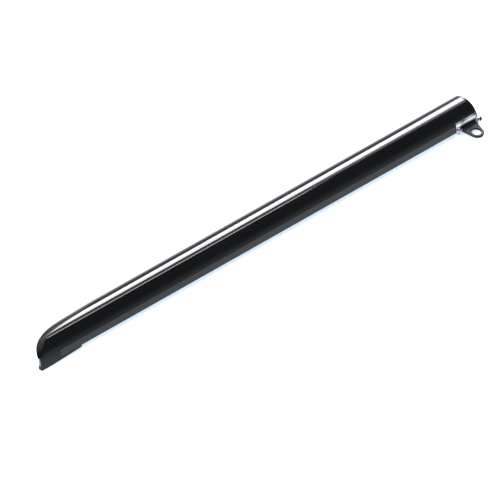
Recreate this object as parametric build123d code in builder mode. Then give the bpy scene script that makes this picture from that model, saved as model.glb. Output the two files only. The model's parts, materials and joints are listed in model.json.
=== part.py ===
from build123d import *

import os
from math import cos, radians, sin

# Long shoehorn lying hollow side down: a gloss half-round shell over a bright metal
# channel, a soft-cornered toe piece under its slanted nose, and a chrome saddle with
# a hinged hanging tab at the other end.
# +X runs from the nose to the hanging end, -Y is the side that carries the tab, and
# z = 0 is the surface that the pads rest on. The origin is under the middle of the box.

# --- driving dimensions, millimetres and degrees ---

rail_length = 616.0        # nose tip to hanging end of the shell
rail_radius = 20.0         # outside of the half-round shell
shell_wall = 2.0
nose_run = 142.0           # length over which the nose slants across the rail
rim_height = 4.5           # rim of the shell above the resting surface

channel_wall = 1.0
bond_space = 0.3           # gap between shell and channel, filled by the tape
bond_slack = 0.05          # thin clearance on each face of the tape
tape_width = 8.0
tape_side_height = 6.5     # middle of the side tapes above the rim
tape_margin = 58.0         # bare length at each end, clear of the slanted nose
channel_inset = 1.5        # channel edge behind the shell edge, along the nose

notch_height = 10.0        # both side notches in the shell, above the rim
notch_corner = 2.0         # upper corner of the notch at the hanging end
toe_notch_length = 28.0
end_notch_length = 31.5

toe_length = 57.0
toe_inset = 2.0            # toe piece behind the shell edge, along the nose
toe_lining = 1.6           # lining of the channel above the rim
toe_runner_width = 5.0
toe_flat = 16.0            # flat part of the runner, from the nose
toe_drop = 2.0             # what is left of the runner under the rim at its back end
skid_thickness = 1.4
fit = 0.12                 # seating clearance between fixed pieces
screw_slack = 0.05         # radial clearance of a screw in the piece that it bites

toe_screw_radius = 1.25
toe_screw_head = 2.3
toe_screw_sink = 0.8       # height of the head, sunk in the lining
toe_screw_spacing = 14.0
toe_screw_back = 5.0       # last screw from the back of the toe piece
toe_screw_cover = 0.8      # shell left over the screw tips

saddle_plate = 2.0         # thickness of the saddle's end plate
saddle_skin = 1.35         # thickness of its side flange
saddle_slack = 0.36        # space between the saddle and the shell
saddle_length = 30.5
lip_height = 1.0
lip_out = 0.5              # lip beyond the flange
lug_radius = 4.2
lug_width = 3.0
lug_gap = 22.5             # clear space between the lugs
hinge_space = 0.5          # free space over the lugs and the barrel
guard_length = 4.6         # arm over the pin cap
guard_width = 3.0

block_foot = 2.5           # end block under the rim
block_length = 27.5
pad_length = 20.0
pad_width = 6.0
pad_corner = 1.5
pad_spread = 20.0          # distance between the pads' middles
saddle_screw_radius = 1.5
saddle_screw_length = 14.0
saddle_screw_head = 2.8
saddle_screw_head_height = 1.6
saddle_screw_spread = 14.0
saddle_screw_rise = 9.0    # above the rim

pin_out = 18.0             # hinge line from the middle plane of the rail
pin_radius = 1.5
pin_running = 0.06         # radial running clearance in the tab
pin_seat = 0.02            # radial clearance in the lugs
pin_head_radius = 2.4
pin_head_height = 1.2
pin_tail = 4.0             # pin beyond the saddle
cap_radius = 2.6
cap_length = 5.0
cap_round = 1.2

barrel_radius = 3.3
washer_radius = 3.0
washer_thickness = 0.8
washer_play = 0.15
tab_thickness = 2.4
tab_reach = 13.0           # hinge line to the middle of the eye
tab_droop = 8.0            # below level
eye_radius = 5.0
eye_ring = 2.9

# --- places that follow from them ---

tab_end = tab_reach + eye_radius + eye_ring
tab_out = tab_end * cos(radians(tab_droop)) + tab_thickness / 2 * sin(radians(tab_droop))
x_tip = -(rail_length + cap_length) / 2
x_end = x_tip + rail_length
x_slant = x_tip + nose_run
y_rail = (pin_out + tab_out - rail_radius) / 2
y_near = y_rail - rail_radius
y_far = y_rail + rail_radius
y_pin = y_rail - pin_out
rim = rim_height

shell_inner = rail_radius - shell_wall
channel_outer = shell_inner - bond_space
channel_inner = channel_outer - channel_wall
lining_outer = channel_inner - fit
lining_inner = lining_outer - toe_lining
flange_inner = channel_outer + fit
flange_outer = flange_inner + saddle_skin
barrel_clearance = lug_radius + hinge_space

x_lug_right = x_end - lug_width
x_lug_left = x_lug_right - lug_gap
x_toe_back = x_tip + toe_length
x_screws = [x_toe_back - toe_screw_back - i * toe_screw_spacing for i in range(2)]
z_screw_tip = rim + rail_radius - toe_screw_cover
margin = 1.0               # how far cutting shapes reach past what they cut

os.makedirs("parts", exist_ok=True)


def half_ring(outer, inner, x_from, x_to, mode=Mode.ADD):
    """Half ring that stands on the rim level, from x_from to x_to."""
    with BuildSketch(Plane.YZ.offset(x_from)) as section:
        with Locations((y_rail, rim)):
            Circle(outer)
            if inner > 0:
                Circle(inner, mode=Mode.SUBTRACT)
            Rectangle(
                2 * outer, outer, align=(Align.CENTER, Align.MIN), mode=Mode.INTERSECT
            )
    extrude(section.sketch, amount=x_to - x_from, mode=mode)


def near_sector(outer, inner, low, high, x_from, x_to, mode=Mode.ADD):
    """Piece of a ring on the tab side, between two heights above the rim."""
    with BuildSketch(Plane.YZ.offset(x_from)) as section:
        with Locations((y_rail, rim)):
            Circle(outer)
            Circle(inner, mode=Mode.SUBTRACT)
        with Locations((y_rail, rim + low)):
            Rectangle(
                outer, high - low, align=(Align.MAX, Align.MIN), mode=Mode.INTERSECT
            )
    extrude(section.sketch, amount=x_to - x_from, mode=mode)


def keep_nose(inset):
    """Cut the nose to its slant: a quarter ellipse from the far side to the tip."""
    with BuildSketch(Plane.XY.offset(-margin)) as section:
        with BuildLine():
            tip = x_tip + inset
            near = y_near - margin
            far = y_far + margin - inset
            Line((tip, y_near), (tip, near))
            Line((tip, near), (x_end + margin, near))
            Line((x_end + margin, near), (x_end + margin, far))
            Line((x_end + margin, far), (x_slant, far))
            EllipticalCenterArc(
                (x_slant, y_near), nose_run - inset, far - y_near, 90, arc_size=90
            )
        make_face()
    extrude(section.sketch, amount=rim + rail_radius + 2 * margin, mode=Mode.INTERSECT)


def near_window(x_from, x_to, depth_from, height, corner=0.0):
    """Opening through the side wall, from below the rim up to a height above it."""
    with BuildSketch(Plane.XZ.offset(-(y_rail - depth_from))) as section:
        with Locations((x_from, rim - margin)):
            Rectangle(
                x_to - x_from, height + margin, align=(Align.MIN, Align.MIN)
            )
        if corner > 0:
            fillet(section.vertices().group_by(Axis.Y)[-1], corner)
    extrude(section.sketch, amount=rail_radius, mode=Mode.SUBTRACT)


def rods_up(radius, z_from, z_to, mode=Mode.ADD):
    """The toe screws' upright places, as rods between two heights."""
    with BuildSketch(Plane.XY.offset(z_from)) as section:
        with Locations([(x, y_rail) for x in x_screws]):
            Circle(radius)
    extrude(section.sketch, amount=z_to - z_from, mode=mode)


def rods_along(radius, x_from, x_to, mode=Mode.ADD):
    """The saddle screws' places, as rods along the rail."""
    with BuildSketch(Plane.YZ.offset(x_from)) as section:
        with Locations((y_rail, rim + saddle_screw_rise)):
            with GridLocations(saddle_screw_spread, 1, 2, 1):
                Circle(radius)
    extrude(section.sketch, amount=x_to - x_from, mode=mode)


def pin_rod(radius, x_from, x_to, mode=Mode.ADD):
    """Round bar on the hinge line."""
    with BuildSketch(Plane.YZ.offset(x_from)) as section:
        with Locations((y_pin, rim)):
            Circle(radius)
    extrude(section.sketch, amount=x_to - x_from, mode=mode)


# --- the rail ---

# Gloss cover: half tube, nose slanted in plan, and a notch in the tab side at each end.
with BuildPart() as outer_shell:
    half_ring(rail_radius, shell_inner, x_tip, x_end)
    keep_nose(0)
    near_window(x_tip - margin, x_tip + toe_notch_length, rail_radius / 2, notch_height)
    near_window(
        x_end - end_notch_length,
        x_end + margin,
        rail_radius / 2,
        notch_height,
        notch_corner,
    )
    rods_up(toe_screw_radius + screw_slack, rim, z_screw_tip, Mode.SUBTRACT)

# Bright metal channel inside the cover, which the heel slides along.
with BuildPart() as inner_channel:
    half_ring(channel_outer, channel_inner, x_tip, x_end - saddle_plate - fit)
    keep_nose(channel_inset)
    near_window(x_end - end_notch_length, x_end, rail_radius / 2, barrel_clearance)
    rods_up(toe_screw_radius + fit, rim, rim + rail_radius, Mode.SUBTRACT)

# Strips of bonding tape between the two, one along the crest and one down each side.
with BuildPart() as bond_tapes:
    with BuildSketch(Plane.YZ.offset(x_tip + toe_length + tape_margin)):
        with Locations((y_rail, rim)):
            Circle(shell_inner - bond_slack)
            Circle(channel_outer + bond_slack, mode=Mode.SUBTRACT)
        with Locations((y_rail, rim + tape_side_height), (y_rail, rim + rail_radius)):
            Rectangle(2 * rail_radius, tape_width, mode=Mode.INTERSECT)
    extrude(amount=rail_length - toe_length - 2 * tape_margin)

# --- the toe ---

# Runner profile in side view, from the nose back: flat, then rising towards the rim.
run_start = (x_tip + toe_inset, 0)
run_flat = (x_tip + toe_flat, 0)
run_back = (x_toe_back, rim - toe_drop)

with BuildPart() as toe_skid:
    with BuildSketch(Plane.XZ.offset(-(y_near + toe_runner_width))):
        with BuildLine():
            Polyline(
                run_start,
                run_flat,
                run_back,
                (run_back[0], run_back[1] + skid_thickness),
                (run_flat[0], skid_thickness),
                (run_start[0], skid_thickness),
                close=True,
            )
        make_face()
    extrude(amount=toe_runner_width - fit)
    keep_nose(toe_inset)

# Toe piece: lining inside the channel, cheek that fills the notch, and the runner.
with BuildPart() as toe_piece:
    half_ring(lining_outer, lining_inner, x_tip, x_toe_back)
    near_sector(
        rail_radius - fit, flange_inner, 0, notch_height - fit,
        x_tip, x_tip + toe_notch_length - fit,
    )
    with BuildSketch(Plane.XZ.offset(-(y_near + toe_runner_width))):
        with BuildLine():
            Polyline(
                (run_start[0], skid_thickness),
                (run_flat[0], skid_thickness),
                (run_back[0], run_back[1] + skid_thickness),
                (run_back[0], rim),
                (run_start[0], rim),
                close=True,
            )
        make_face()
    extrude(amount=toe_runner_width - fit)
    keep_nose(toe_inset)
    rods_up(toe_screw_radius + fit, rim, rim + rail_radius, Mode.SUBTRACT)
    rods_up(toe_screw_head + fit, rim, rim + lining_inner + toe_screw_sink, Mode.SUBTRACT)

# Flat-headed screws, driven up from the hollow into the cover.
with BuildPart() as toe_screws:
    z_head = rim + lining_inner
    rods_up(toe_screw_head, z_head, z_head + toe_screw_sink)
    rods_up(toe_screw_radius, z_head + toe_screw_sink, z_screw_tip - screw_slack)

# --- the hanging end ---

# Half-round block that closes the channel and takes the saddle's screws.
x_block = x_end - saddle_plate - block_length
with BuildPart() as end_block:
    half_ring(lining_outer, 0, x_block, x_end - saddle_plate)
    with BuildSketch(Plane.XY.offset(rim - block_foot)):
        with Locations((x_block, y_rail)):
            Rectangle(
                block_length, 2 * lining_outer, align=(Align.MIN, Align.CENTER)
            )
    extrude(amount=block_foot)
    block_near = pin_out - barrel_clearance
    with BuildSketch(Plane.XZ.offset(-(y_rail - block_near))):
        with Locations((x_block - margin, rim - block_foot - margin)):
            Rectangle(
                block_length + 2 * margin,
                block_foot + margin + barrel_clearance,
                align=(Align.MIN, Align.MIN),
            )
    extrude(amount=rail_radius, mode=Mode.SUBTRACT)
    rods_along(
        saddle_screw_radius + screw_slack,
        x_end - saddle_screw_length - screw_slack,
        x_end,
        Mode.SUBTRACT,
    )

# Rubber pads under the block.
with BuildPart() as end_pads:
    with BuildSketch(Plane.XY):
        with Locations((x_block + block_length / 2, y_rail)):
            with GridLocations(1, pad_spread, 1, 2):
                RectangleRounded(pad_length, pad_width, pad_corner)
    extrude(amount=rim - block_foot)

# Saddle: end plate, side flange in the notch, lip, lugs for the pin, and the guard arm.
flange_low = barrel_clearance
flange_high = notch_height - saddle_slack
with BuildPart() as end_saddle:
    half_ring(shell_inner - saddle_slack, 0, x_end - saddle_plate, x_end)
    x_saddle = x_end - saddle_length
    lip_top = flange_low + lip_height
    near_sector(flange_outer, flange_inner, flange_low, flange_high, x_saddle, x_end)
    near_sector(flange_outer, rail_radius / 2, flange_low, flange_high, x_end - saddle_plate, x_end)
    near_sector(flange_outer + lip_out, flange_inner, flange_low, lip_top, x_saddle, x_end)
    for x_lug in (x_lug_left - lug_width, x_lug_right):
        pin_rod(lug_radius, x_lug, x_lug + lug_width)
        near_sector(flange_outer, flange_inner, 0, lip_top, x_lug, x_lug + lug_width)
    with BuildSketch(Plane.XY.offset(rim + cap_radius + fit)):
        with Locations((x_end - lug_width, y_pin)):
            Rectangle(
                guard_length + lug_width, guard_width, align=(Align.MIN, Align.CENTER)
            )
    extrude(amount=lip_height)
    pin_rod(pin_radius + pin_seat, x_saddle, x_end + margin, Mode.SUBTRACT)
    rods_along(saddle_screw_radius + fit, x_saddle, x_end + margin, Mode.SUBTRACT)

with BuildPart() as saddle_screws:
    rods_along(saddle_screw_radius, x_end - saddle_screw_length, x_end)
    rods_along(saddle_screw_head, x_end, x_end + saddle_screw_head_height)

# --- the hinge and the tab ---

x_pin_head = x_lug_left - lug_width - pin_head_height
with BuildPart() as hinge_pin:
    pin_rod(pin_head_radius, x_pin_head, x_pin_head + pin_head_height)
    pin_rod(pin_radius, x_pin_head, x_end + pin_tail)

with BuildPart() as pin_cap:
    pin_rod(cap_radius, x_end + fit, x_end + cap_length)
    fillet(pin_cap.edges().sort_by(Axis.X)[-1], cap_round)
    pin_rod(pin_radius + pin_seat, x_end, x_end + pin_tail + pin_seat, Mode.SUBTRACT)

x_barrel = x_lug_left + washer_thickness + 2 * washer_play
barrel_length = lug_gap - 2 * washer_thickness - 4 * washer_play
with BuildPart() as tab_washers:
    for x_washer in (
        x_lug_left + washer_play,
        x_lug_right - washer_play - washer_thickness,
    ):
        pin_rod(washer_radius, x_washer, x_washer + washer_thickness)
    pin_rod(pin_radius + pin_running, x_lug_left, x_lug_right, Mode.SUBTRACT)

# Tab: barrel on the pin, and a drooping plate that narrows to the hanging eye.
tab_plane = Plane(
    origin=(x_barrel + barrel_length / 2, y_pin, rim),
    x_dir=(1, 0, 0),
    z_dir=(0, -sin(radians(tab_droop)), cos(radians(tab_droop))),
)
with BuildPart() as hang_tab:
    with BuildSketch(tab_plane.offset(-tab_thickness / 2)):
        with Locations((0, -tab_reach)):
            Circle(eye_radius + eye_ring)
        with Locations((0, -barrel_radius / 2)):
            Rectangle(barrel_length, barrel_radius)
        make_hull()
        with Locations((0, -tab_reach)):
            Circle(eye_radius, mode=Mode.SUBTRACT)
    extrude(amount=tab_thickness)
    pin_rod(barrel_radius, x_barrel, x_barrel + barrel_length)
    pin_rod(pin_radius + pin_running, x_barrel, x_barrel + barrel_length, Mode.SUBTRACT)

# --- names and files ---

for name, piece in {
    "outer_shell": outer_shell,
    "inner_channel": inner_channel,
    "bond_tapes": bond_tapes,
    "toe_piece": toe_piece,
    "toe_skid": toe_skid,
    "toe_screws": toe_screws,
    "end_block": end_block,
    "end_pads": end_pads,
    "end_saddle": end_saddle,
    "saddle_screws": saddle_screws,
    "hinge_pin": hinge_pin,
    "pin_cap": pin_cap,
    "tab_washers": tab_washers,
    "hang_tab": hang_tab,
}.items():
    piece.part.label = name
    export_step(piece.part, f"parts/{name}.step")
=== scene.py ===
import json
import math

import bmesh
import bpy
import numpy as np
from bpy.props import FloatProperty, FloatVectorProperty, IntProperty, PointerProperty
from mathutils import Matrix, Vector


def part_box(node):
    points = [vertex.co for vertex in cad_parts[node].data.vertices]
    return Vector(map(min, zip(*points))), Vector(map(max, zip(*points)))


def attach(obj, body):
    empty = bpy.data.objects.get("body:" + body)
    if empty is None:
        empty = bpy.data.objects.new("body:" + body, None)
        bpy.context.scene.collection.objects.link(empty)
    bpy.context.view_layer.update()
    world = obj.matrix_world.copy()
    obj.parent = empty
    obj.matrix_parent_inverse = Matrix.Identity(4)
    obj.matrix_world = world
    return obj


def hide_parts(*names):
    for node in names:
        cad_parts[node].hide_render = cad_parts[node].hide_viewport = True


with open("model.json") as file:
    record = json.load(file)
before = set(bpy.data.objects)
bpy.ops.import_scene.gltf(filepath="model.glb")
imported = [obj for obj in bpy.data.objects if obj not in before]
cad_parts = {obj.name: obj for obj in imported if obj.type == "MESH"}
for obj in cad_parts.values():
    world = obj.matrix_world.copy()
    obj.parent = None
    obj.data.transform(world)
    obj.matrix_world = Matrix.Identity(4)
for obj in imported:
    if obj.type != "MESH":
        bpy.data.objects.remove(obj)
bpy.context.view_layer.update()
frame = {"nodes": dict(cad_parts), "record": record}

bl_info = {
    "name": "Long Shoehorn",
    "version": (1, 0, 0),
    "blender": (4, 5, 0),
    "location": "3D View > Sidebar > Shoehorn",
    "description": "Builds the visible pieces and finishes of a long shoehorn on its packed frame",
    "category": "Add Mesh",
}

MM = 0.001
FIT = 0.12 * MM  # clearance between pieces that fit together
BORE_FIT = 0.06 * MM  # clearance round the pin in the pieces that turn on it
PRESS_FIT = 0.02 * MM  # clearance round the pin in the pieces that hold it

# --- places read from the frame, in metres ---

cover_low, cover_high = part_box("outer_shell")
channel_low, channel_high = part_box("inner_channel")
toe_low, toe_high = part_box("toe_piece")
skid_low, skid_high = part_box("toe_skid")
pad_low, pad_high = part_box("end_pads")
saddle_low, saddle_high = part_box("end_saddle")
pin_low, pin_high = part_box("hinge_pin")
cap_low, cap_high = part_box("pin_cap")
washer_low, washer_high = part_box("tab_washers")
tab_low, tab_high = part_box("hang_tab")
toe_screw_low, toe_screw_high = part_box("toe_screws")
saddle_screw_low, saddle_screw_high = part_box("saddle_screws")

RADIUS = (cover_high.y - cover_low.y) / 2
CHANNEL_RADIUS = (channel_high.y - channel_low.y) / 2
MIDDLE = (cover_high.y + cover_low.y) / 2
RIM = cover_low.z
TOE_INSET = 2 * MM  # toe piece behind the slanted edge
CHANNEL_INSET = 1.5 * MM  # channel behind the slanted edge
CLIFF = 0.02 * MM  # length of a step in a carried section
CREASE = 0.5 * MM  # rounding of the nose band's inner line
CREASE_BLEND = 0.8 * MM  # distance over which the finish changes at that line
TIP = toe_low.x - TOE_INSET
END = cover_high.x
PIN_Y = (pin_low.y + pin_high.y) / 2
PIN_Z = (pin_low.z + pin_high.z) / 2
EYE = next(m for m in frame["record"]["mounts"] if m["name"] == "hanging_eye")


class RailSizes(bpy.types.PropertyGroup):
    """Sizes of the rail's visible edges."""

    nose_run: FloatProperty(
        name="Nose run", description="Length over which the nose slants", default=0.142,
        unit="LENGTH",
    )
    wall: FloatProperty(
        name="Wall", description="Thickness of the cover", default=0.002, unit="LENGTH"
    )
    band: FloatProperty(
        name="Nose band", description="Width of the thinned band along the nose",
        default=0.0065, unit="LENGTH",
    )
    band_drop: FloatProperty(
        name="Band drop", description="How much the wall thins across the band",
        default=0.0013, unit="LENGTH",
    )
    band_grow: FloatProperty(
        name="Band growth", description="Extra band width for each metre further back",
        default=0.2,
    )
    band_start: FloatProperty(
        name="Band start", description="Place from the nose where the band starts to widen",
        default=0.024, unit="LENGTH",
    )
    band_run: FloatProperty(
        name="Band run", description="Length over which the band widens", default=0.050,
        unit="LENGTH",
    )
    band_stop: FloatProperty(
        name="Band stop", description="Place from the nose where the band has faded out",
        default=0.104, unit="LENGTH",
    )
    band_fading: FloatProperty(
        name="Band fading", description="Length over which the band fades out",
        default=0.032, unit="LENGTH",
    )
    end_round: FloatProperty(
        name="End round", description="Depth of the rounding at the cover's square end",
        default=0.0016, unit="LENGTH",
    )
    end_run: FloatProperty(
        name="End run", description="Length of the rounding at the cover's square end",
        default=0.004, unit="LENGTH",
    )
    edge: FloatProperty(
        name="Edge round", description="Rounding of the cover's edges", default=0.0006,
        unit="LENGTH",
    )
    notch_height: FloatProperty(
        name="Notch height", description="Height of the side notches over the rim",
        default=0.010, unit="LENGTH",
    )
    toe_notch: FloatProperty(
        name="Toe notch", description="Length of the notch at the nose", default=0.028,
        unit="LENGTH",
    )
    end_notch: FloatProperty(
        name="End notch", description="Length of the notch at the hanging end",
        default=0.0315, unit="LENGTH",
    )
    channel_notch: FloatProperty(
        name="Channel notch", description="Height of the channel's notch at the hinge",
        default=0.0047, unit="LENGTH",
    )
    channel_wall: FloatProperty(
        name="Channel wall", description="Thickness of the metal channel", default=0.001,
        unit="LENGTH",
    )


class HardwareSizes(bpy.types.PropertyGroup):
    """Sizes of the toe piece and of the hanging end."""

    runner_width: FloatProperty(
        name="Runner width", description="Width of the toe piece's runner", default=0.005,
        unit="LENGTH",
    )
    runner_flat: FloatProperty(
        name="Runner flat", description="Flat length of the runner from the nose",
        default=0.016, unit="LENGTH",
    )
    skid: FloatProperty(
        name="Skid", description="Thickness of the skid under the runner",
        default=0.0014, unit="LENGTH",
    )
    lining: FloatProperty(
        name="Toe lining", description="Thickness of the toe piece's lining",
        default=0.0016, unit="LENGTH",
    )
    skin: FloatProperty(
        name="Saddle skin", description="Thickness of the saddle's flange",
        default=0.00135, unit="LENGTH",
    )
    plate: FloatProperty(
        name="End plate", description="Thickness of the saddle's end plate",
        default=0.002, unit="LENGTH",
    )
    web_radius: FloatProperty(
        name="Web radius", description="How far in the end plate's web reaches",
        default=0.009, unit="LENGTH",
    )
    arm: FloatProperty(
        name="Arm width", description="Width of the saddle's arm over the pin",
        default=0.003, unit="LENGTH",
    )
    arm_height: FloatProperty(
        name="Arm height", description="Height of the arm over the pin's axis",
        default=0.00272, unit="LENGTH",
    )
    lug: FloatProperty(
        name="Lug width", description="Width of each lug along the pin", default=0.003,
        unit="LENGTH",
    )
    lug_gap: FloatProperty(
        name="Lug gap", description="Clear space between the lugs", default=0.0225,
        unit="LENGTH",
    )
    lug_radius: FloatProperty(
        name="Lug radius", description="Radius of the lugs about the pin",
        default=0.0042, unit="LENGTH",
    )
    pad: FloatProperty(
        name="Pad width", description="Width of each pad under the end block",
        default=0.006, unit="LENGTH",
    )
    eye_ring: FloatProperty(
        name="Eye ring", description="Width of the ring around the hanging eye",
        default=0.0029, unit="LENGTH",
    )
    tab_thickness: FloatProperty(
        name="Tab thickness", description="Thickness of the tab's plate", default=0.0024,
        unit="LENGTH",
    )
    barrel: FloatProperty(
        name="Barrel radius", description="Radius of the tab's barrel", default=0.0033,
        unit="LENGTH",
    )
    pin: FloatProperty(
        name="Pin radius", description="Radius of the hinge pin", default=0.0015,
        unit="LENGTH",
    )


class ShoehornColours(bpy.types.PropertyGroup):
    """Colours of the shoehorn's finishes."""

    cover: FloatVectorProperty(
        name="Cover", description="Gloss black of the cover", subtype="COLOR", size=4,
        default=(0.006, 0.006, 0.0065, 1),
    )
    nylon: FloatVectorProperty(
        name="Nylon", description="Matte black of the toe piece", subtype="COLOR",
        size=4, default=(0.004, 0.0045, 0.0045, 1),
    )
    rubber: FloatVectorProperty(
        name="Rubber", description="Black of the pads", subtype="COLOR", size=4,
        default=(0.010, 0.010, 0.011, 1),
    )
    chrome: FloatVectorProperty(
        name="Chrome", description="Bright plate of the saddle", subtype="COLOR", size=4,
        default=(0.72, 0.72, 0.76, 1),
    )
    steel: FloatVectorProperty(
        name="Steel", description="Polished steel of the channel", subtype="COLOR",
        size=4, default=(0.40, 0.41, 0.43, 1),
    )
    tab: FloatVectorProperty(
        name="Tab", description="Satin black of the tab", subtype="COLOR", size=4,
        default=(0.002, 0.004, 0.012, 1),
    )
    zinc: FloatVectorProperty(
        name="Zinc", description="Zinc plate of the screws", subtype="COLOR", size=4,
        default=(0.5, 0.5, 0.52, 1),
    )
    washer: FloatVectorProperty(
        name="Washer", description="Plain nylon of the tab's washers", subtype="COLOR",
        size=4, default=(0.62, 0.61, 0.56, 1),
    )
    tape: FloatVectorProperty(
        name="Tape", description="Dark grey of the bonding tape", subtype="COLOR", size=4,
        default=(0.05, 0.05, 0.05, 1),
    )


class StageSizes(bpy.types.PropertyGroup):
    """Camera and light of the plain studio."""

    azimuth: FloatProperty(
        name="Azimuth", description="Camera's turn about the vertical",
        default=math.radians(-44.3), subtype="ANGLE",
    )
    elevation: FloatProperty(
        name="Elevation", description="Camera's height angle",
        default=math.radians(35.4), subtype="ANGLE",
    )
    distance: FloatProperty(
        name="Distance", description="Camera to the part", default=14.1, unit="LENGTH"
    )
    lens: FloatProperty(
        name="Lens", description="Focal length in millimetres", default=1010.0
    )
    aim: FloatVectorProperty(
        name="Aim", description="How far the aim lies before the hanging end's middle",
        default=(0.3238, 0.0182, 0.0016), unit="LENGTH",
    )
    strip: FloatProperty(
        name="Strip light", description="Brightness of the long softbox", default=19.0
    )
    horizon: FloatProperty(
        name="Horizon", description="Brightness of the room at the floor's level", default=0.75
    )
    room: FloatProperty(
        name="Room", description="Brightness of the room higher up", default=0.13
    )
    overhead: FloatProperty(
        name="Overhead light", description="Brightness of the ceiling softbox", default=2.2
    )
    floor_glow: FloatVectorProperty(
        name="Floor glow", description="Light the floor adds in sight and in mirrors",
        subtype="COLOR", size=4, default=(0.60, 0.70, 0.80, 1),
    )
    steps: IntProperty(
        name="Round steps", description="Faces around a small round piece", default=64
    )


# --- meshes worked out as arrays ---


def shell_faces(mask):
    """Faces of a thick sheet: the upper and lower quads of each cell that mask keeps,
    and a wall wherever a kept cell has no kept neighbour."""
    index = np.arange((mask.shape[0] + 1) * (mask.shape[1] + 1))
    index = index.reshape(mask.shape[0] + 1, mask.shape[1] + 1)
    a, b, c, d = index[:-1, :-1], index[1:, :-1], index[1:, 1:], index[:-1, 1:]
    upper = np.stack([a, b, c, d], -1)[mask]
    around = np.pad(mask, 1)
    faces = [upper, upper[:, ::-1] + index.size]
    for beside, start, stop in (
        (around[:-2, 1:-1], d, a),
        (around[2:, 1:-1], b, c),
        (around[1:-1, :-2], a, b),
        (around[1:-1, 2:], c, d),
    ):
        border = mask & ~beside
        start, stop = start[border], stop[border]
        faces.append(np.stack([stop, start, start + index.size, stop + index.size], -1))
    return np.concatenate(faces)


def grid_faces(rows, columns, around=True):
    """Quads of a grid of points whose columns close on themselves when around is true."""
    index = np.arange(rows * columns).reshape(rows, columns)
    if around:
        index = np.concatenate([index, index[:, :1]], 1)
    corners = index[:-1, :-1], index[:-1, 1:], index[1:, 1:], index[1:, :-1]
    return np.stack(corners, -1).reshape(-1, 4)


def add_piece(name, parts, material, body="rail", stands_for=(), smooth=True):
    """One object from several closed surfaces, each given as (points, faces, caps).
    Doubles are merged, so seams and poles close, and the faces are turned outwards."""
    points, faces, count = [], [], 0
    for own_points, own_faces, caps in parts:
        flat = np.asarray(own_points, float).reshape(-1, 3)
        points.append(flat)
        faces += (np.asarray(own_faces) + count).tolist()
        faces += [(np.asarray(cap) + count).tolist() for cap in caps]
        count += len(flat)
    mesh = bpy.data.meshes.new(name)
    mesh.from_pydata(np.concatenate(points), [], faces)
    bm = bmesh.new()
    bm.from_mesh(mesh)
    bmesh.ops.remove_doubles(bm, verts=bm.verts, dist=1e-7)
    bmesh.ops.dissolve_degenerate(bm, edges=bm.edges, dist=1e-8)
    loose = [v for v in bm.verts if not v.link_faces]
    bmesh.ops.delete(bm, geom=loose, context="VERTS")
    bmesh.ops.recalc_face_normals(bm, faces=bm.faces)
    bm.to_mesh(mesh)
    bm.free()
    mesh.polygons.foreach_set("use_smooth", np.full(len(mesh.polygons), smooth))
    piece = bpy.data.objects.new(name, mesh)
    bpy.context.scene.collection.objects.link(piece)
    mesh.materials.append(material)
    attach(piece, body)
    if stands_for:
        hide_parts(*stands_for)
    return piece


def round_edges(piece, width, segments=3):
    """Live bevel on the piece's real corners, with the flats' normals kept."""
    bevel = piece.modifiers.new("round_edges", "BEVEL")
    bevel.width = width
    bevel.segments = segments
    bevel.limit_method = "ANGLE"
    bevel.angle_limit = math.radians(35)
    bevel.harden_normals = True
    return piece


def corner_drop(distance, radius):
    """Depth of a quarter-round edge at a distance from it: a circle's height, then 0."""
    inside = np.clip(radius - distance, 0, radius)
    return radius - np.sqrt(radius**2 - inside**2)


def edge_steps(reach, count):
    """Distances from an edge that start close together and widen to reach."""
    return reach * np.linspace(0, 1, count) ** 1.8


def nose_edge(radius, inset, run, count):
    """The nose's outline wrapped on a tube: (x, angle) along a quarter ellipse in plan.
    The angle is 0 at the tab side's rim and pi at the far rim."""
    turn = np.linspace(0, math.pi / 2, count)
    side = RADIUS - (2 * RADIUS + MM - inset) * np.sin(turn)
    x = TIP + run - (run - inset) * np.cos(turn)
    return x, np.arccos(np.clip(side / radius, -1, 1))


def nose_distance(along, arc, radius, inset, run):
    """Shortest distance on the unrolled tube from each point to the nose's outline."""
    edge_x, edge_angle = nose_edge(radius, inset, run, 720)
    open_side = edge_angle < math.pi
    edge_x, edge_angle = edge_x[open_side], edge_angle[open_side]
    edge = np.stack([edge_x, edge_angle * radius])
    nearest = np.full(np.shape(arc), 1.0)
    for start, way in zip(edge.T[:-1], np.diff(edge).T):
        off_x, off_arc = along - start[0], arc - start[1]
        share = np.clip((off_x * way[0] + off_arc * way[1]) / (way @ way), 0, 1)
        step = np.hypot(off_x - share * way[0], off_arc - share * way[1])
        nearest = np.minimum(nearest, step)
    return nearest


def band_width(along, band, sizes):
    """Width of the nose band: even at first, then widening steadily up to a limit."""
    grown = sizes.band_grow * np.clip(along - TIP - sizes.band_start, 0, sizes.band_run)
    return band + grown


def band_fade(along, sizes):
    """1 along the visible slant, falling to 0 before the far rim: s * s * (3 - 2 * s)."""
    share = np.clip((TIP + sizes.band_stop - along) / sizes.band_fading, 0, 1)
    return share * share * (3 - 2 * share)


def mark_band(piece, sizes):
    """Point attribute that is 1 on the nose band and falls to 0 across its crease."""
    place = np.empty(3 * len(piece.data.vertices))
    piece.data.vertices.foreach_get("co", place)
    x, y, z = place.reshape(-1, 3).T
    arc = np.arctan2(z - RIM, MIDDLE - y) % (2 * math.pi) * RADIUS
    inside = band_width(x, sizes.band, sizes) - nose_distance(x, arc, RADIUS, 0, sizes.nose_run)
    amount = np.clip(0.5 + inside / CREASE_BLEND, 0, 1) * band_fade(x, sizes)
    band = piece.data.attributes.new("nose_band", "FLOAT", "POINT")
    band.data.foreach_set("value", amount)


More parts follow.
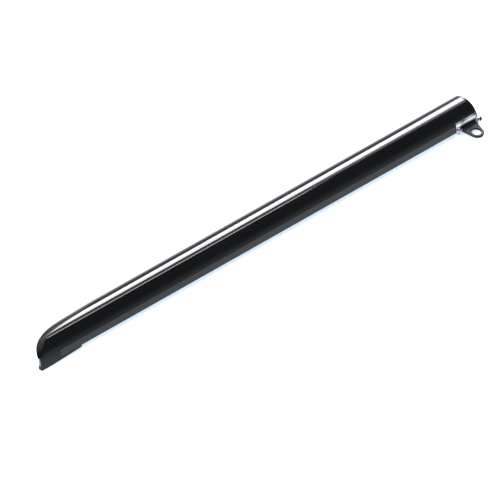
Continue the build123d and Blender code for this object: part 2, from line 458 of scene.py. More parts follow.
def rail_surface(radius, wall, inset, x_stop, foot_height, notches, sizes, band=0, drop=0):
    """Half tube with a slanted nose, as a thick sheet over (x, arc length).

    Rows run along x and columns from the tab side's rim to the far rim or the nose's
    edge. A point's radius is the tube's, less a quarter-round at every edge, less the
    nose band's wedge, which grows evenly from the band's inner line to the edge.
    notches lists (start, stop) of openings from the near rim up to foot_height."""
    edge_x, edge_angle = nose_edge(radius, inset, sizes.nose_run, 720)
    level = math.asin(foot_height / radius)
    first_row = np.interp(level + 0.03, edge_angle, edge_x)
    near_corner = np.array([0.1, 0.25, 0.45, 0.7, 1.2]) * MM
    near_corner = np.concatenate([-near_corner[::-1], [0], near_corner])
    stations = [
        edge_x[::6],
        np.arange(TIP + sizes.nose_run, x_stop, 5 * MM),
        *[corner + near_corner for notch in notches for corner in notch],
        x_stop - edge_steps(sizes.end_run + 0.2 * MM, 14),
    ]
    x = np.unique(np.round(np.concatenate(stations), 6))
    x = x[(x > first_row + 0.04 * MM) & (x <= x_stop)]
    x = np.concatenate([[first_row], x])
    far = np.interp(x, edge_x, edge_angle, right=math.pi) * radius

    # Columns near the slanted edge spread out where it runs steeply across them.
    slope = np.gradient(far, x)
    stretch = 1 + (np.minimum(np.sqrt(1 + slope**2), 4) - 1) * band_fade(x, sizes)

    # Below the foot every row has the same columns, so that a notch's edge is on one.
    foot = level * radius
    steps = edge_steps(1.2 * MM, 6)
    between = np.linspace(steps[-1], foot - steps[-1], 8)
    low = np.unique(np.concatenate([steps, between, foot - steps]))
    near_part = np.broadcast_to(low, (len(x), len(low)))

    # Above it they are close together at the foot and across the band. Where the nose is
    # too narrow for both, they are squeezed by one factor.
    start_steps = steps[1:]
    band_steps = np.concatenate(
        [edge_steps(1.5 * MM, 6), np.linspace(0.4, 1.5, 16) * max(band, 2 * MM)]
    )
    width = far - foot
    room = 2.2 * (start_steps[-1] + band_steps[-1] * stretch)
    squeeze = np.minimum(width / room, 1)[:, None]
    first = foot + squeeze * start_steps
    last = far[:, None] - squeeze * (band_steps[::-1] * stretch[:, None])
    share = np.linspace(0, 1, 42)[1:-1]
    middle = first[:, -1:] + (last[:, :1] - first[:, -1:]) * share
    arc = np.concatenate([near_part, first, middle, last], 1)
    along = np.broadcast_to(x[:, None], arc.shape)

    to_nose = nose_distance(along, arc, radius, inset, sizes.nose_run)
    to_edge = np.minimum.reduce([arc, math.pi * radius - arc, x_stop - along])

    # A cell is left out where its centre lies in a notch.
    keep = np.ones((arc.shape[0] - 1, arc.shape[1] - 1), bool)
    centre_x = (along[1:, 1:] + along[:-1, :-1]) / 2
    centre_arc = (arc[1:, 1:] + arc[:-1, :-1]) / 2
    for start, stop in notches:
        out_x = np.maximum.reduce([start - along, along - stop, 0 * arc])
        to_edge = np.minimum(to_edge, np.hypot(out_x, np.maximum(arc - foot, 0)))
        keep &= ~((centre_x > start) & (centre_x < stop) & (centre_arc < foot))

    width = band_width(along, band, sizes)
    wedge = 0.5 * (width - to_nose + np.hypot(width - to_nose, CREASE))
    outside = radius - drop * band_fade(along, sizes) * wedge / np.maximum(width, MM)

    # The roundings take six and three tenths of the wall, counted as 1.6 edges at most.
    left = np.minimum(outside - (radius - wall), sizes.edge * 1.6)
    outside = outside - corner_drop(np.minimum(to_edge, to_nose), 0.6 * left)
    if drop > 0:
        end_drop = corner_drop((x_stop - along) / sizes.end_run, 1) * sizes.end_round
        outside = np.minimum(outside, radius - end_drop)
    inside = radius - wall + corner_drop(np.minimum(to_edge, to_nose), 0.3 * left)
    angle = arc / radius
    layers = []
    for reach in (outside, inside):
        y = MIDDLE - reach * np.cos(angle)
        z = RIM + reach * np.sin(angle)
        layers.append(np.stack([along, y, z], -1).reshape(-1, 3))
    return np.concatenate(layers), shell_faces(keep), []


def arc_patch(radius, wall, low, high, x_start, x_stop, edge):
    """Patch of a tube between two heights over the rim, with quarter-round edges.

    A height h is at the angle asin(h / radius) round the tube. The sheet's two layers
    are the radius less the edge's drop, and the radius less the wall plus that drop."""
    turn_low, turn_high = math.asin(low / radius), math.asin(high / radius)
    steps = edge_steps(2 * edge, 6)
    length = x_stop - x_start
    x = np.concatenate([steps, np.linspace(0.1, 0.9, 9) * length, length - steps[::-1]])
    arc_length = (turn_high - turn_low) * radius
    arc = np.concatenate(
        [steps, np.linspace(0.2, 0.8, 7) * arc_length, arc_length - steps[::-1]]
    )
    x = np.unique(np.clip(x, 0, length))
    arc = np.unique(np.clip(arc, 0, arc_length))
    along, across = np.meshgrid(x, arc, indexing="ij")
    to_edge = np.minimum.reduce([along, length - along, across, arc_length - across])
    layers = []
    for reach in (radius - corner_drop(to_edge, edge), radius - wall + corner_drop(to_edge, edge)):
        turn = turn_low + across / radius
        y, z = MIDDLE - reach * np.cos(turn), RIM + reach * np.sin(turn)
        layers.append(np.stack([x_start + along, y, z], -1).reshape(-1, 3))
    mask = np.ones((len(x) - 1, len(arc) - 1), bool)
    return np.concatenate(layers), shell_faces(mask), []


def turned(profile, origin, axis, steps):
    """Profile of (along, radius) turned about an axis through origin.

    A point is origin + along * axis + radius * (cos t, sin t) in the plane across the
    axis. A negative radius gives a hexagon of that half width, for a key's socket: the
    half width over the cosine of the turn from the nearest flat's middle."""
    profile = np.asarray(profile, float)
    turn = np.linspace(0, 2 * math.pi, steps, endpoint=False)
    to_flat = (turn + math.pi / 6) % (math.pi / 3) - math.pi / 6
    radius = profile[:, 1:]
    reach = np.where(radius < 0, -radius / np.cos(to_flat), radius)
    axis = np.asarray(axis, float)
    side = np.array([0.0, 1.0, 0.0])
    ring = np.cos(turn)[:, None] * side + np.sin(turn)[:, None] * np.cross(axis, side)
    points = np.asarray(origin) + profile[:, :1, None] * axis + reach[..., None] * ring
    return points, grid_faces(len(profile), steps), []


def rounded(length, radius, edge, bore=0.0):
    """Profile, to be turned, of a cylinder with quarter-round rims, solid or with a bore."""
    turn = np.linspace(0, math.pi / 2, 6)
    first = np.stack([edge * (1 - np.cos(turn)), radius - edge * (1 - np.sin(turn))], 1)
    last = first[::-1] * [-1, 1] + [length, 0]
    rows = [[(0, bore)], first, last, [(length, bore)]]
    if bore > 0:
        rows.append([(0, bore)])
    return np.concatenate(rows)


def carried(sections):
    """Closed sections joined in order, with a flat cap on each end."""
    rows, columns = sections.shape[:2]
    first = np.arange(columns)[::-1]
    last = np.arange(columns) + (rows - 1) * columns
    return sections, grid_faces(rows, columns), [first, last]


def rounded_box(low, high, edge):
    """Box with quarter-round corners in section, carried along x with eased ends.

    The section is a circle of radius edge whose quarters are pushed out to the box's
    corners. Towards each end that circle shrinks by a quarter-round's drop."""
    low, high = np.asarray(low, float), np.asarray(high, float)
    turn = np.linspace(0, 2 * math.pi, 32, endpoint=False) + math.pi / 64
    half = (high - low)[1:] / 2
    ease = np.linspace(0, math.pi / 2, 5)
    x = np.concatenate([low[0] + edge * (1 - np.sin(ease)), high[0] - edge * (1 - np.sin(ease))])
    x = np.sort(x)
    near_end = np.minimum(x - low[0], high[0] - x)
    shrink = corner_drop(near_end, edge)[:, None]
    y = np.sign(np.cos(turn)) * (half[0] - edge) + (edge - shrink) * np.cos(turn)
    z = np.sign(np.sin(turn)) * (half[1] - edge) + (edge - shrink) * np.sin(turn)
    middle = (low + high) / 2
    points = np.stack([np.broadcast_to(x[:, None], y.shape), middle[1] + y, middle[2] + z], -1)
    return carried(points)


# --- finishes, kept by name so that pieces can share one ---

FINISHES = {}


def new_material(name, colour, roughness, metallic=0.0):
    """Principled material with its plain values on the shader's own sockets."""
    material = bpy.data.materials.new(name)
    FINISHES[name] = material
    material.use_nodes = True
    shader = material.node_tree.nodes["Principled BSDF"]
    shader.inputs["Base Color"].default_value = tuple(colour)
    shader.inputs["Roughness"].default_value = roughness
    shader.inputs["Metallic"].default_value = metallic
    return material, shader


def link_noise(material, scale, detail, stretch=(1, 1, 1)):
    """Noise on object coordinates, drawn out along the part's axes by stretch."""
    nodes, links = material.node_tree.nodes, material.node_tree.links
    place = nodes.new("ShaderNodeTexCoord")
    mapping = nodes.new("ShaderNodeMapping")
    noise = nodes.new("ShaderNodeTexNoise")
    mapping.inputs["Scale"].default_value = stretch
    noise.inputs["Scale"].default_value = scale
    noise.inputs["Detail"].default_value = detail
    links.new(place.outputs["Object"], mapping.inputs["Vector"])
    links.new(mapping.outputs["Vector"], noise.inputs["Vector"])
    return noise.outputs["Fac"]


def link_range(material, value, socket, low, high, start=0.3, stop=0.7):
    """Sends a noise value to a socket: start to stop is spread evenly from low to high."""
    spread = material.node_tree.nodes.new("ShaderNodeMapRange")
    spread.inputs["From Min"].default_value = start
    spread.inputs["From Max"].default_value = stop
    spread.inputs["To Min"].default_value = low
    spread.inputs["To Max"].default_value = high
    material.node_tree.links.new(value, spread.inputs["Value"])
    material.node_tree.links.new(spread.outputs["Result"], socket)


def link_tint(material, value, socket, dark, light):
    """Sends a noise value to a colour socket, between two colours."""
    ramp = material.node_tree.nodes.new("ShaderNodeValToRGB")
    ramp.color_ramp.elements[0].position = 0.35
    ramp.color_ramp.elements[1].position = 0.65
    ramp.color_ramp.elements[0].color = dark
    ramp.color_ramp.elements[1].color = light
    material.node_tree.links.new(value, ramp.inputs["Fac"])
    material.node_tree.links.new(ramp.outputs["Color"], socket)


def link_bump(material, value, shader, depth, strength):
    """Sends a noise value to the shader's normal as a bump of that depth."""
    bump = material.node_tree.nodes.new("ShaderNodeBump")
    bump.inputs["Strength"].default_value = strength
    bump.inputs["Distance"].default_value = depth
    material.node_tree.links.new(value, bump.inputs["Height"])
    material.node_tree.links.new(bump.outputs["Normal"], shader.inputs["Normal"])


def shaded(colour, factor):
    """The same colour, lighter or darker."""
    return tuple(c * factor for c in colour[:3]) + (1.0,)


def gloss_cover(colour):
    """Gloss black: faint moulding flow along the rail and a very shallow orange peel.
    On the nose band the roughness rises by dulling and the mirror strength falls by it."""
    dulling = 0.26
    material, shader = new_material("gloss_cover", colour, 0.05)
    shader.inputs["IOR"].default_value = 1.42
    flow = link_noise(material, 40, 4, (0.15, 1, 1))
    link_tint(material, flow, shader.inputs["Base Color"], shaded(colour, 0.7), shaded(colour, 1.4))
    haze = link_noise(material, 180, 6, (0.08, 1, 1))
    nodes, links = material.node_tree.nodes, material.node_tree.links
    band = nodes.new("ShaderNodeAttribute")
    band.attribute_name = "nose_band"
    satin = nodes.new("ShaderNodeMath")
    satin.operation = "MULTIPLY_ADD"
    satin.inputs[1].default_value = dulling
    links.new(band.outputs["Fac"], satin.inputs[0])
    link_range(material, haze, satin.inputs[2], 0.035, 0.085)
    links.new(satin.outputs[0], shader.inputs["Roughness"])
    duller = nodes.new("ShaderNodeMath")
    duller.operation = "MULTIPLY_ADD"
    duller.inputs[1].default_value = -dulling
    duller.inputs[2].default_value = 0.5
    links.new(band.outputs["Fac"], duller.inputs[0])
    links.new(duller.outputs[0], shader.inputs["Specular IOR Level"])
    peel = link_noise(material, 260, 2)
    link_bump(material, peel, shader, 0.00002, 0.25)
    return material


def polished_metal(name, colour, low, high, stretch, dark=0.86):
    """Bright metal with fine polishing lines, drawn out by stretch, and darker clouds in its colour:
    mild tarnish where dark is near 1, and, where dark is low as on the chrome, a painted streaky
    reflection.
    Its roughness runs from low to high, and dark is the clouds' share of the colour."""
    material, shader = new_material(name, colour, low, 1.0)
    lines = link_noise(material, 900, 3, stretch)
    link_range(material, lines, shader.inputs["Roughness"], low, high)
    # Darker clouds in the base colour: tarnish on the steel and zinc, and a painted streaky reflection
    # on the chrome, whose dark is low.
    tarnish_and_reflection_cloud = link_noise(material, 150, 4, (0.6, 1, 1))
    link_tint(material, tarnish_and_reflection_cloud, shader.inputs["Base Color"], shaded(colour, dark), shaded(colour, 1.06))
    link_bump(material, lines, shader, 0.00001, 0.3)
    return material


def white_paper(glow):
    """Pale floor, lifted to white wherever it is seen straight, mirrored or through glass."""
    material, shader = new_material("white_paper", (0.92, 0.92, 0.92, 1), 0.9)
    shader.inputs["Specular IOR Level"].default_value = 0.0
    nodes, links = material.node_tree.nodes, material.node_tree.links
    path = nodes.new("ShaderNodeLightPath")
    mirrored = nodes.new("ShaderNodeMath")
    mirrored.operation = "ADD"
    links.new(path.outputs["Is Glossy Ray"], mirrored.inputs[0])
    links.new(path.outputs["Is Transmission Ray"], mirrored.inputs[1])
    seen = nodes.new("ShaderNodeMath")
    seen.operation = "ADD"
    links.new(path.outputs["Is Camera Ray"], seen.inputs[0])
    links.new(mirrored.outputs[0], seen.inputs[1])
    shader.inputs["Emission Color"].default_value = glow
    links.new(seen.outputs[0], shader.inputs["Emission Strength"])
    return material


def moulded(name, colour, low, high, grain, depth):
    """Moulded plastic or rubber with a fine eroded grain and a slight mottle."""
    material, shader = new_material(name, colour, high)
    shader.inputs["Specular IOR Level"].default_value = 0.3
    speckle = link_noise(material, grain, 5)
    link_range(material, speckle, shader.inputs["Roughness"], low, high)
    mottle = link_noise(material, grain / 12, 3)
    link_tint(material, mottle, shader.inputs["Base Color"], shaded(colour, 0.8), shaded(colour, 1.3))
    link_bump(material, speckle, shader, depth, 0.5)
    return material


# --- pieces, each standing for nodes of the frame ---


class SHOEHORN_OT_rail(bpy.types.Operator):
    """Gloss cover and the metal channel inside it"""

    bl_idname = "shoehorn.rail"
    bl_label = "Rail"

    def execute(self, context):
        sizes = context.scene.shoehorn_rail
        colours = context.scene.shoehorn_colours
        notches = [(TIP - MM, TIP + sizes.toe_notch), (END - sizes.end_notch, END + MM)]
        cover = rail_surface(
            RADIUS, sizes.wall, 0, END, sizes.notch_height, notches, sizes,
            sizes.band, sizes.band_drop,
        )
        shell = add_piece(
            "cover", [cover], gloss_cover(colours.cover),
            stands_for=["outer_shell"],
        )
        mark_band(shell, sizes)
        channel = rail_surface(
            CHANNEL_RADIUS, sizes.channel_wall, CHANNEL_INSET, channel_high.x,
            sizes.channel_notch, notches[1:], sizes,
        )
        steel = polished_metal("polished_steel", colours.steel, 0.10, 0.24, (0.02, 1, 1))
        add_piece("channel", [channel], steel, stands_for=["inner_channel"])
        tape = moulded("bonding_tape", colours.tape, 0.7, 0.9, 1500, 0.00005)
        frame["nodes"]["bond_tapes"].data.materials.clear()
        frame["nodes"]["bond_tapes"].data.materials.append(tape)
        return {"FINISHED"}


def runner_section(bottom, deep, outer, inner, arc_rise):
    """Section (y from the rail's middle, z) of the toe piece's runner and cheek.

    It starts at the bottom inner corner. The near face rises straight to the rim and
    follows a circle of radius outer up to the angle arc_rise. There it steps in to the
    circle of radius inner, and comes back down to the rim."""
    turn = np.linspace(0, arc_rise, 14)
    face = np.stack([-outer * np.cos(turn), RIM + outer * np.sin(turn)], 1)
    back = np.stack([-inner * np.cos(turn[::-1]), RIM + inner * np.sin(turn[::-1])], 1)
    return np.concatenate([[[-deep, bottom], [-outer, bottom]], face, back, [[-deep, RIM]]])


def skid_strip(thick, flat, slope, edge):
    """Rounded strip along the toe piece's bottom, flat up to a place and then rising.

    Its ends are eased by shrinking the section's rounded corners there."""
    corner = np.linspace(0, 2 * math.pi, 24, endpoint=False) + math.pi / 24
    half = (skid_high.y - skid_low.y) / 2 - edge
    x = np.array([skid_low.x, skid_low.x + edge, flat, skid_high.x - edge, skid_high.x])
    shrink = np.array([edge * 0.6, 0, 0, 0, edge * 0.6])[:, None]
    base = np.maximum(x - flat, 0)[:, None] * slope
    y = np.sign(np.cos(corner)) * half + (edge - shrink) * np.cos(corner)
    y = y + (skid_high.y + skid_low.y) / 2
    z = base + thick / 2 + np.sign(np.sin(corner)) * (thick / 2 - edge)
    z = z + (edge - shrink) * np.sin(corner)
    return carried(np.stack([np.broadcast_to(x[:, None], y.shape), y, z], -1))


class SHOEHORN_OT_toe(bpy.types.Operator):
    """Toe piece under the nose, its rubber skid and its screws"""

    bl_idname = "shoehorn.toe"
    bl_label = "Toe"

    def execute(self, context):
        sizes = context.scene.shoehorn_rail
        parts = context.scene.shoehorn_hardware
        colours = context.scene.shoehorn_colours
        steps = context.scene.shoehorn_stage.steps
        skid = parts.skid
        flat = TIP + parts.runner_flat
        back = toe_high.x
        outer = MIDDLE - toe_low.y
        inner = CHANNEL_RADIUS + FIT
        deep = RADIUS - parts.runner_width
        cheek_stop = TIP + sizes.toe_notch - FIT
        cheek_rise = math.asin((sizes.notch_height - FIT) / outer)
        x = np.array([toe_low.x, flat, cheek_stop, cheek_stop + CLIFF, back])
        slope = (skid_high.z - skid) / (back - flat)
        bottom = skid + np.maximum(x - flat, 0) * slope
        rise = np.where(x <= cheek_stop, cheek_rise, 0)
        sections = []
        for place, low, turn in zip(x, bottom, rise):
            outline = runner_section(low, deep, outer, inner, turn)
            sections.append(np.column_stack([np.full(len(outline), place), outline]))
        sections = np.stack(sections)
        sections[:, :, 1] += MIDDLE
        lining = rail_surface(
            CHANNEL_RADIUS - sizes.channel_wall - FIT, parts.lining, TOE_INSET, back,
            sizes.channel_notch, [], sizes,
        )
        nylon = moulded("matte_nylon", colours.nylon, 0.42, 0.62, 1400, 0.00006)
        toe = add_piece(
            "toe_block", [carried(sections), lining], nylon,
            stands_for=["toe_piece"],
        )
        round_edges(toe, 0.4 * MM)

        strip = skid_strip(skid, flat, slope, 0.45 * MM)
        rubber = moulded("pad_rubber", colours.rubber, 0.7, 0.9, 2200, 0.00008)
        add_piece("skid", [strip], rubber, stands_for=["toe_skid"])

        head, shank, key = 2.3 * MM, 1.25 * MM, 0.95 * MM
        length = toe_screw_high.z - toe_screw_low.z
        profile = [
            (0.9 * MM, 0), (0.9 * MM, -key), (0.12 * MM, -key), (0, -key - 0.1 * MM),
            (0, head - 0.2 * MM), (0.15 * MM, head), (0.8 * MM, head), (0.8 * MM, shank),
            (length - 0.3 * MM, shank), (length, 0.9 * MM), (length, 0),
        ]
        zinc = polished_metal("zinc_screws", colours.zinc, 0.22, 0.38, (1, 1, 1))
        screws = [
            turned(profile, (place, MIDDLE, toe_screw_low.z), (0, 0, 1), steps)
            for place in (toe_screw_low.x + head, toe_screw_high.x - head)
        ]
        add_piece("toe_screw_pair", screws, zinc, stands_for=["toe_screws"])
        return {"FINISHED"}


def end_plate(thick, edge):
    """Half disc that closes the rail's end, with quarter-round edges on both faces.

    Each ring is the half circle (-cos t, sin t), made smaller towards the two faces and
    kept as far above the rim as it is smaller."""
    turn = np.linspace(0, math.pi, 72)
    ease = np.linspace(0, math.pi / 2, 5)
    first, shrink = edge * (1 - np.sin(ease[::-1])), edge * (1 - np.cos(ease[::-1]))
    along = np.concatenate([first, thick - first[::-1]])[:, None]
    shrink = np.concatenate([shrink, shrink[::-1]])[:, None]
    reach = saddle_high.y - MIDDLE - shrink
    y = MIDDLE - reach * np.cos(turn)
    z = RIM + np.maximum(reach * np.sin(turn), shrink)
    x = np.broadcast_to(END - thick + along, y.shape)
    return carried(np.stack([x, y, z], -1))


class SHOEHORN_OT_saddle(bpy.types.Operator):
    """Chrome saddle, its screws, and the block and pads behind it"""

    bl_idname = "shoehorn.saddle"
    bl_label = "Saddle"

    def execute(self, context):
        sizes = context.scene.shoehorn_rail
        parts = context.scene.shoehorn_hardware
        colours = context.scene.shoehorn_colours
        steps = context.scene.shoehorn_stage.steps
        # dark of 0.2 makes deep dark clouds in the chrome's colour: a painted streaky reflection, not
        # tarnish.
        chrome = polished_metal("chrome_plate", colours.chrome, 0.05, 0.16, (0.3, 1, 1), 0.2)
        flange = CHANNEL_RADIUS + FIT + parts.skin
        low, high = sizes.channel_notch, sizes.notch_height - 3 * FIT
        lip = low + MM
        soft = 0.3 * MM
        left_lug = END - 2 * parts.lug - parts.lug_gap
        surfaces = [
            arc_patch(flange, parts.skin, low, high, saddle_low.x, END, soft),
            arc_patch(flange + 0.5 * MM, parts.skin, low, lip, saddle_low.x, END, 0.45 * MM),
        ]
        for x in (left_lug, END - parts.lug):
            disc = rounded(parts.lug, parts.lug_radius, 0.4 * MM, parts.pin + PRESS_FIT)
            surfaces.append(turned(disc, (x, PIN_Y, PIN_Z), (1, 0, 0), steps))
            surfaces.append(arc_patch(flange, parts.skin, 0, lip, x, x + parts.lug, soft))
        surfaces.append(end_plate(parts.plate, 0.35 * MM))
        web = flange - parts.web_radius
        plate_start, web_stop = END - parts.plate, END - 0.05 * MM
        surfaces.append(arc_patch(flange, web, low, high, plate_start, web_stop, soft))
        arm_half, arm_foot = parts.arm / 2, PIN_Z + parts.arm_height
        arm_low = (END - parts.lug, PIN_Y - arm_half, arm_foot)
        arm_high = (saddle_high.x, PIN_Y + arm_half, arm_foot + MM)
        surfaces.append(rounded_box(arm_low, arm_high, 0.35 * MM))
        add_piece("saddle", surfaces, chrome, stands_for=["end_saddle"])

        head, shank, key = 2.8 * MM, 1.5 * MM, 1.1 * MM
        rise, length = saddle_screw_high.x - END, END - saddle_screw_low.x
        profile = [
            (rise - key, 0), (rise - key, -key), (rise, -key), (rise, 1.6 * MM),
            (rise - 0.25 * MM, head - 0.5 * MM), (rise - 0.8 * MM, head - 0.1 * MM),
            (0.05 * MM, head), (0, head), (0, shank), (0.5 * MM - length, shank),
            (-length, MM), (-length, 0),
        ]
        zinc = polished_metal("zinc_pan_screws", colours.zinc, 0.2, 0.35, (1, 1, 1))
        height = (saddle_screw_low.z + saddle_screw_high.z) / 2
        screws = [
            turned(profile, (END, y, height), (1, 0, 0), steps)
            for y in (saddle_screw_low.y + head, saddle_screw_high.y - head)
        ]
        add_piece(
            "saddle_screw_pair", screws, zinc, stands_for=["saddle_screws"]
        )

        block = frame["nodes"]["end_block"]
        block.data.materials.clear()
        block.data.materials.append(FINISHES["matte_nylon"])
        pads = []
        pad_half = parts.pad / 2
        for y in (pad_low.y + pad_half, pad_high.y - pad_half):
            low = (pad_low.x, y - pad_half, pad_low.z)
            high = (pad_high.x, y + pad_half, pad_high.z)
            pads.append(rounded_box(low, high, 0.5 * MM))
        rubber = FINISHES["pad_rubber"]
        add_piece("pads", pads, rubber, stands_for=["end_pads"])
        return {"FINISHED"}


class SHOEHORN_OT_hinge(bpy.types.Operator):
    """Hinge pin, its cap and washers, and the hanging tab"""

    bl_idname = "shoehorn.hinge"
    bl_label = "Hinge and tab"

    def execute(self, context):
        parts = context.scene.shoehorn_hardware
        colours = context.scene.shoehorn_colours
        steps = context.scene.shoehorn_stage.steps
        along = (1, 0, 0)
        soft = 0.3 * MM
        length = pin_high.x - pin_low.x
        head = (pin_high.y - pin_low.y) / 2
        turn = np.linspace(0, math.pi / 2, 8)
        dome = np.stack([1.2 * MM * (1 - np.cos(turn)), head * np.sin(turn)], 1)
        shaft = [
            (1.2 * MM, parts.pin), (length - soft, parts.pin), (length, parts.pin - soft),
            (length, 0),
        ]
        pin = turned(np.concatenate([dome, shaft]), (pin_low.x, PIN_Y, PIN_Z), along, steps)
        chrome = FINISHES["chrome_plate"]
        add_piece("pin", [pin], chrome, stands_for=["hinge_pin"])

        satin = moulded("tab_black", colours.tab, 0.28, 0.40, 1600, 0.00003)
        radius, long = (cap_high.y - cap_low.y) / 2, cap_high.x - cap_low.x
        bend, socket, groove = 1.4 * MM, 3.9 * MM, radius - 0.2 * MM
        dome = [long - bend * (1 - np.sin(turn)), radius - bend * (1 - np.cos(turn))]
        profile = np.concatenate([
            [(socket, 0), (socket, parts.pin + PRESS_FIT), (0, parts.pin + PRESS_FIT)],
            [(0, radius - soft), (soft, radius), (1.1 * MM, radius)],
            [(1.25 * MM, groove), (1.55 * MM, groove), (1.7 * MM, radius)],
            np.stack(dome, 1), [(long, 0)],
        ])
        cap = turned(profile, (cap_low.x, PIN_Y, PIN_Z), along, steps)
        add_piece("cap", [cap], satin, stands_for=["pin_cap"])

        thick = 0.8 * MM
        ring = rounded(thick, 3 * MM, 0.2 * MM, parts.pin + BORE_FIT)
        natural = moulded("washer_nylon", colours.washer, 0.45, 0.6, 1200, 0.00003)
        washers = [
            turned(ring, (x, PIN_Y, PIN_Z), along, steps)
            for x in (washer_low.x, washer_high.x - thick)
        ]
        add_piece("washers", washers, natural, stands_for=["tab_washers"])

        wide = tab_high.x - tab_low.x
        barrel = rounded(wide, parts.barrel, 0.35 * MM, parts.pin + BORE_FIT)
        surfaces = [
            turned(barrel, (tab_low.x, PIN_Y, PIN_Z), along, steps),
            tab_plate(parts, 0.55 * MM),
        ]
        add_piece("tab", surfaces, satin, body="tab", stands_for=["hang_tab"])
        return {"FINISHED"}


def tab_plate(parts, edge):
    """Tab's plate: a rounded section carried once round the hanging eye.

    At each angle the section runs from the eye's circle out to the plate's outline: the
    ring's circle below the tangent points, and above them the nearest of the tangent
    side, the straight side and the line where the plate is buried in the barrel."""
    eye = np.array(EYE["pos_m"])
    hole = EYE["dims"]["r_mm"] * MM
    ring = hole + parts.eye_ring
    up, along = np.array(EYE["axis"]), np.array([1.0, 0.0, 0.0])
    inward = np.cross(up, along)
    to_pin = float(np.dot(np.array([eye[0], PIN_Y, PIN_Z]) - eye, inward))
    half, shoulder = (tab_high.x - tab_low.x) / 2, to_pin - parts.barrel
    turn = np.linspace(0, 2 * math.pi, 360, endpoint=False)
    across, rise = np.abs(np.cos(turn)), np.sin(turn)
    lean = math.atan2(shoulder, half) - math.acos(ring / math.hypot(half, shoulder))
    tangent = ring / np.maximum(across * math.cos(lean) + rise * math.sin(lean), 1e-3)
    outline = np.where(np.arctan2(rise, across) > lean, tangent, ring)
    straight = half / np.maximum(across, 1e-6)
    buried = np.where(rise > 0, (shoulder + MM) / np.maximum(rise, 1e-6), np.inf)
    outline = np.minimum.reduce([outline, straight, buried])

    bend = np.linspace(0, math.pi / 2, 6)
    thick = parts.tab_thickness / 2
    inset, height = edge * (1 - np.sin(bend)), thick - edge * (1 - np.cos(bend))
    insets = np.concatenate([inset[::-1], inset, inset[::-1], inset])[:, None]
    heights = np.concatenate([height[::-1], height, -height[::-1], -height])
    outer = np.repeat([False, True, True, False], len(bend))[:, None]
    reach = np.where(outer, outline - insets, hole + insets)[..., None]
    toward = np.cos(turn)[:, None] * along + np.sin(turn)[:, None] * inward
    points = eye + reach * toward + heights[:, None, None] * up
    points = np.concatenate([points, points[:1]])
    return points, grid_faces(len(points), len(turn)), []


# --- stage ---

LAMP_DISTANCE = 3.0


def facing(phi, sizes):
    """Direction that the rail's surface mirrors to the camera, at angle phi round it.

    phi is 0 at the tab side's rim. The mirrored ray is 2 (n . v) n - v for the surface's
    normal n and the direction v to the camera."""
    view = camera_direction(sizes)
    normal = Vector((0, -math.cos(phi), math.sin(phi)))
    return (2 * normal.dot(view) * normal - view).normalized()


def camera_direction(sizes):
    """Unit vector from the part towards the camera."""
    flat = math.cos(sizes.elevation)
    return Vector((
        math.sin(sizes.azimuth) * flat, -math.cos(sizes.azimuth) * flat,
        math.sin(sizes.elevation),
    ))


def area_lamp(name, width, height, radiance, colour):
    """Rectangular softbox of a given radiance, facing its own -Z."""
    lamp = bpy.data.lights.new(name, "AREA")
    lamp.shape = "RECTANGLE"
    lamp.size, lamp.size_y = width, height
    lamp.color = colour
    lamp.energy = radiance * math.pi * width * height
    holder = bpy.data.objects.new(name, lamp)
    bpy.context.scene.collection.objects.link(holder)
    return holder


def strip_light(name, sizes, phi, x_range, radiance, colour):
    """Flat lamp that the rail mirrors between two angles round it and two places along it.

    phi holds the angles in degrees, as facing measures them, and x_range the places. The
    lamp's sides follow the two ways that the mirrored ray moves: along the rail, and
    round its axis, where a ray turns twice as far as the normal does."""
    low, high = (math.radians(p) for p in phi)
    centre_ray = facing((low + high) / 2, sizes)
    axis = Vector((1, 0, 0))
    round_way = axis.cross(centre_ray).normalized()
    along_way = round_way.cross(centre_ray).normalized()
    spread = 2 * math.tan(high - low) * axis.cross(centre_ray).length * LAMP_DISTANCE
    length = (x_range[1] - x_range[0]) * along_way.cross(centre_ray).length
    length *= abs(along_way.dot(axis))
    holder = area_lamp(name, length, spread, radiance, colour)
    middle = Vector((sum(x_range) / 2, MIDDLE, RIM + RADIUS))
    turned_to_rail = Matrix((along_way, round_way, along_way.cross(round_way))).transposed()
    place = Matrix.Translation(middle + centre_ray * LAMP_DISTANCE)
    holder.matrix_world = place @ turned_to_rail.to_4x4()
    return holder


def studio_air(sizes):
    """Dim bluish room, lighter towards the horizon where its walls meet the floor."""
    world = bpy.data.worlds.new("studio")
    world.use_nodes = True
    nodes, links = world.node_tree.nodes, world.node_tree.links
    background = nodes["Background"]
    background.inputs["Color"].default_value = (0.84, 0.92, 1.0, 1)
    place = nodes.new("ShaderNodeTexCoord")
    split = nodes.new("ShaderNodeSeparateXYZ")
    links.new(place.outputs["Generated"], split.inputs[0])
    fade = nodes.new("ShaderNodeMapRange")
    fade.interpolation_type = "SMOOTHSTEP"
    fade.inputs["From Max"].default_value = 0.62
    fade.inputs["To Min"].default_value = sizes.horizon
    fade.inputs["To Max"].default_value = sizes.room
    links.new(split.outputs["Z"], fade.inputs["Value"])
    links.new(fade.outputs["Result"], background.inputs["Strength"])
    return world


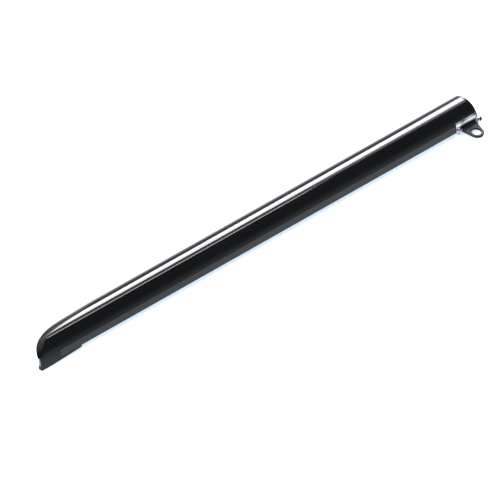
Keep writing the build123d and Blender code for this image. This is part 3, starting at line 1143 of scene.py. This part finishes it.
class SHOEHORN_OT_stage(bpy.types.Operator):
    """Pale floor, soft lamps and the camera"""

    bl_idname = "shoehorn.stage"
    bl_label = "Stage"

    def execute(self, context):
        scene = context.scene
        sizes = scene.shoehorn_stage
        scene.view_settings.view_transform = "Standard"
        scene.world = studio_air(sizes)

        reach = 8.0
        mesh = bpy.data.meshes.new("floor")
        corners = [(-reach, -reach, 0), (reach, -reach, 0), (reach, reach, 0), (-reach, reach, 0)]
        mesh.from_pydata(corners, [], [(0, 1, 2, 3)])
        floor = bpy.data.objects.new("floor", mesh)
        scene.collection.objects.link(floor)
        mesh.materials.append(white_paper(sizes.floor_glow))

        all_along = (-0.45, 0.45)
        warm = (1, 0.98, 0.99)
        cool = (0.95, 0.95, 1)
        lilac = (0.95, 0.92, 1)
        strip_light("long_softbox", sizes, (81.5, 95), all_along, sizes.strip, warm)
        strip_light("thin_strip", sizes, (71.2, 73.0), (-0.42, 0.10), 15.0, cool)
        strip_light("side_panel", sizes, (74.0, 80.5), all_along, 0.95, lilac)
        strip_light("end_panel", sizes, (73.6, 80.5), (0.12, 0.45), 1.6, lilac)
        for name, toward, size, radiance in (
            ("end_window", (0.91, 0.39, 0.16), (1.4, 0.8), 8.0),
            ("corner_softbox", (0.77, 0.55, 0.33), (1.1, 0.5), 12.0),
            ("left_softbox", (-0.62, 0.12, 0.77), (2.0, 0.5), 7.0),
        ):
            lamp = area_lamp(name, *size, radiance, (0.97, 0.97, 1))
            lamp.location = Vector(toward) * LAMP_DISTANCE
            lamp.rotation_euler = lamp.location.to_track_quat("Z", "Y").to_euler()
        ceiling = area_lamp("ceiling", 1.5, 1.5, sizes.overhead, (1, 1, 1))
        ceiling.location = (0, 0, 2.0)

        camera = bpy.data.cameras.new("camera")
        camera.lens = sizes.lens
        camera.sensor_width = 36
        camera.clip_end = 50
        holder = bpy.data.objects.new("camera", camera)
        toward = camera_direction(sizes)
        aim = Vector((END - sizes.aim[0], MIDDLE - sizes.aim[1], RIM - sizes.aim[2]))
        holder.location = aim + toward * sizes.distance
        holder.rotation_euler = (-toward).to_track_quat("-Z", "Y").to_euler()
        scene.collection.objects.link(holder)
        scene.camera = holder
        return {"FINISHED"}


class SHOEHORN_PT_panel(bpy.types.Panel):
    """Lists the shoehorn's pieces and sizes"""

    bl_label = "Shoehorn"
    bl_idname = "SHOEHORN_PT_panel"
    bl_space_type = "VIEW_3D"
    bl_region_type = "UI"
    bl_category = "Shoehorn"

    def draw(self, context):
        for operator in OPERATORS:
            self.layout.operator(operator.bl_idname)
        for name in SETTINGS:
            group = getattr(context.scene, name)
            column = self.layout.column()
            for key in group.bl_rna.properties.keys():
                if key not in ("rna_type", "name"):
                    column.prop(group, key)


SETTINGS = {
    "shoehorn_rail": RailSizes,
    "shoehorn_hardware": HardwareSizes,
    "shoehorn_colours": ShoehornColours,
    "shoehorn_stage": StageSizes,
}
OPERATORS = (
    SHOEHORN_OT_rail,
    SHOEHORN_OT_toe,
    SHOEHORN_OT_saddle,
    SHOEHORN_OT_hinge,
    SHOEHORN_OT_stage,
)


def register():
    """Registers the classes and puts the settings on the scene."""
    for kind in (*SETTINGS.values(), *OPERATORS, SHOEHORN_PT_panel):
        bpy.utils.register_class(kind)
    for name, kind in SETTINGS.items():
        setattr(bpy.types.Scene, name, PointerProperty(type=kind))


def unregister():
    """Takes the settings off the scene and removes the classes."""
    for name in SETTINGS:
        delattr(bpy.types.Scene, name)
    for kind in (SHOEHORN_PT_panel, *reversed(OPERATORS), *reversed(SETTINGS.values())):
        bpy.utils.unregister_class(kind)


def main():
    """Builds every piece and the stage."""
    register()
    bpy.ops.shoehorn.rail()
    bpy.ops.shoehorn.toe()
    bpy.ops.shoehorn.saddle()
    bpy.ops.shoehorn.hinge()
    bpy.ops.shoehorn.stage()


if __name__ == "__main__":
    main()
